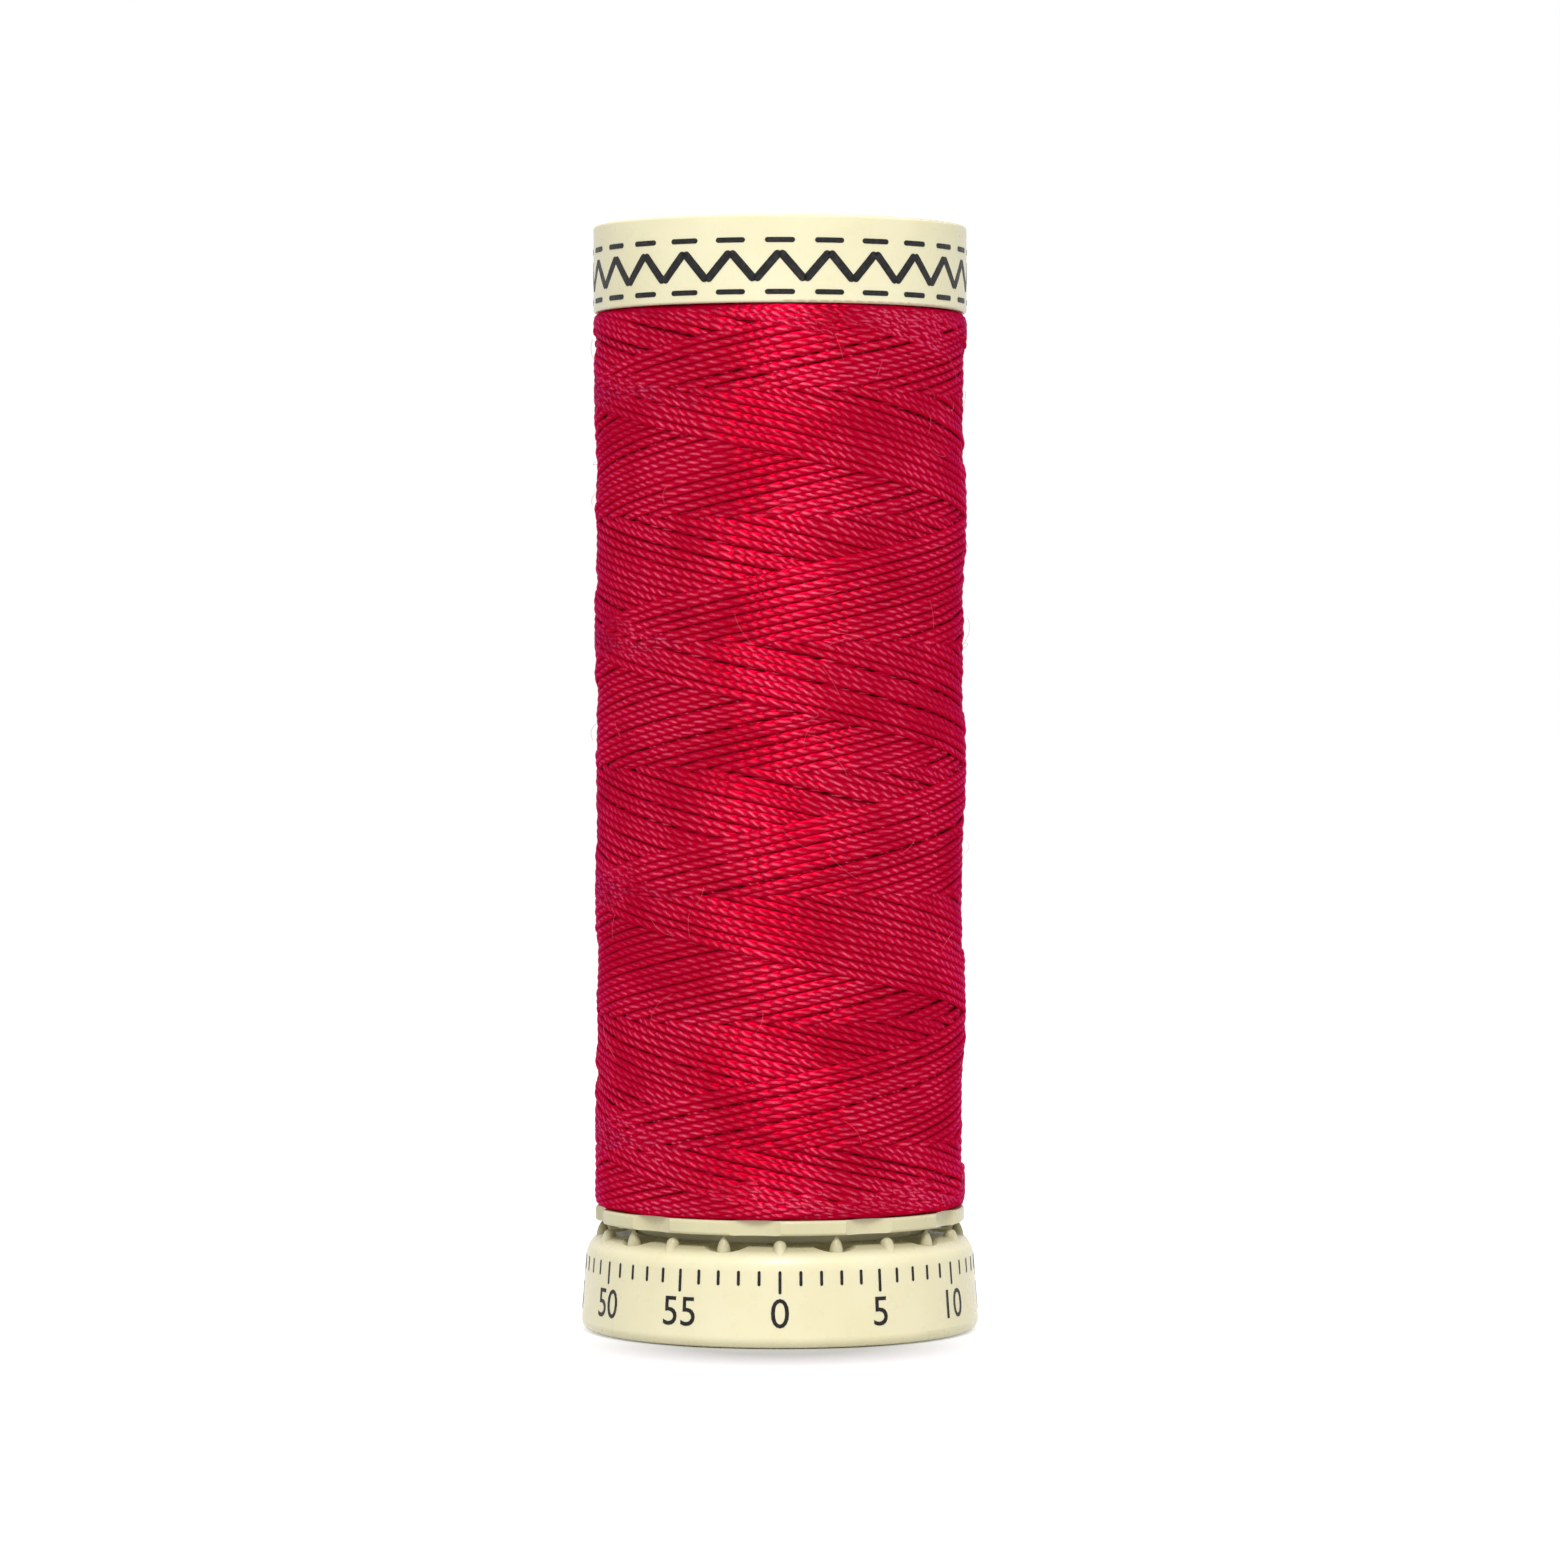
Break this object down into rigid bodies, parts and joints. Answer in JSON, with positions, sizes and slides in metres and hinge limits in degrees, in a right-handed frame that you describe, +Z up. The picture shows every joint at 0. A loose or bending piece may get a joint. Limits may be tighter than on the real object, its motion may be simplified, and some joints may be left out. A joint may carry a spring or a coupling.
{
  "type": "spool of thread",
  "caption": "Upright snap spool: a round head band over a cross-wound red thread package on a hollow barrel, with a toothed foot that lifts to lock or free the thread's end.",
  "frame": {"origin": "centre of the foot's underside, on the surface that the spool stands on", "axes": "+Z up along the spool's axis from foot to head, -Y towards the front of the picture, +X to its right"},
  "size_m": [0.0206, 0.0206, 0.057],
  "materials": {
    "cream_plastic": "smooth moulded, soft gloss",
    "barrel_plastic": "smooth moulded, soft gloss",
    "label_paper": "coated paper",
    "thread": "twisted polyester yarn with a silky sheen"
  },
  "bodies": {
    "foot": {"foot": "cream_plastic"},
    "spool": {"barrel": "barrel_plastic", "head_cap": "cream_plastic", "head_label": "label_paper", "thread_pack": "thread", "thread_turns": "thread"}
  },
  "joints": [
    {"name": "thread_lock", "type": "slide", "parent": "foot", "child": "spool", "axis": [0, 0, 1], "range_m": [0, 0.0016]}
  ]
}
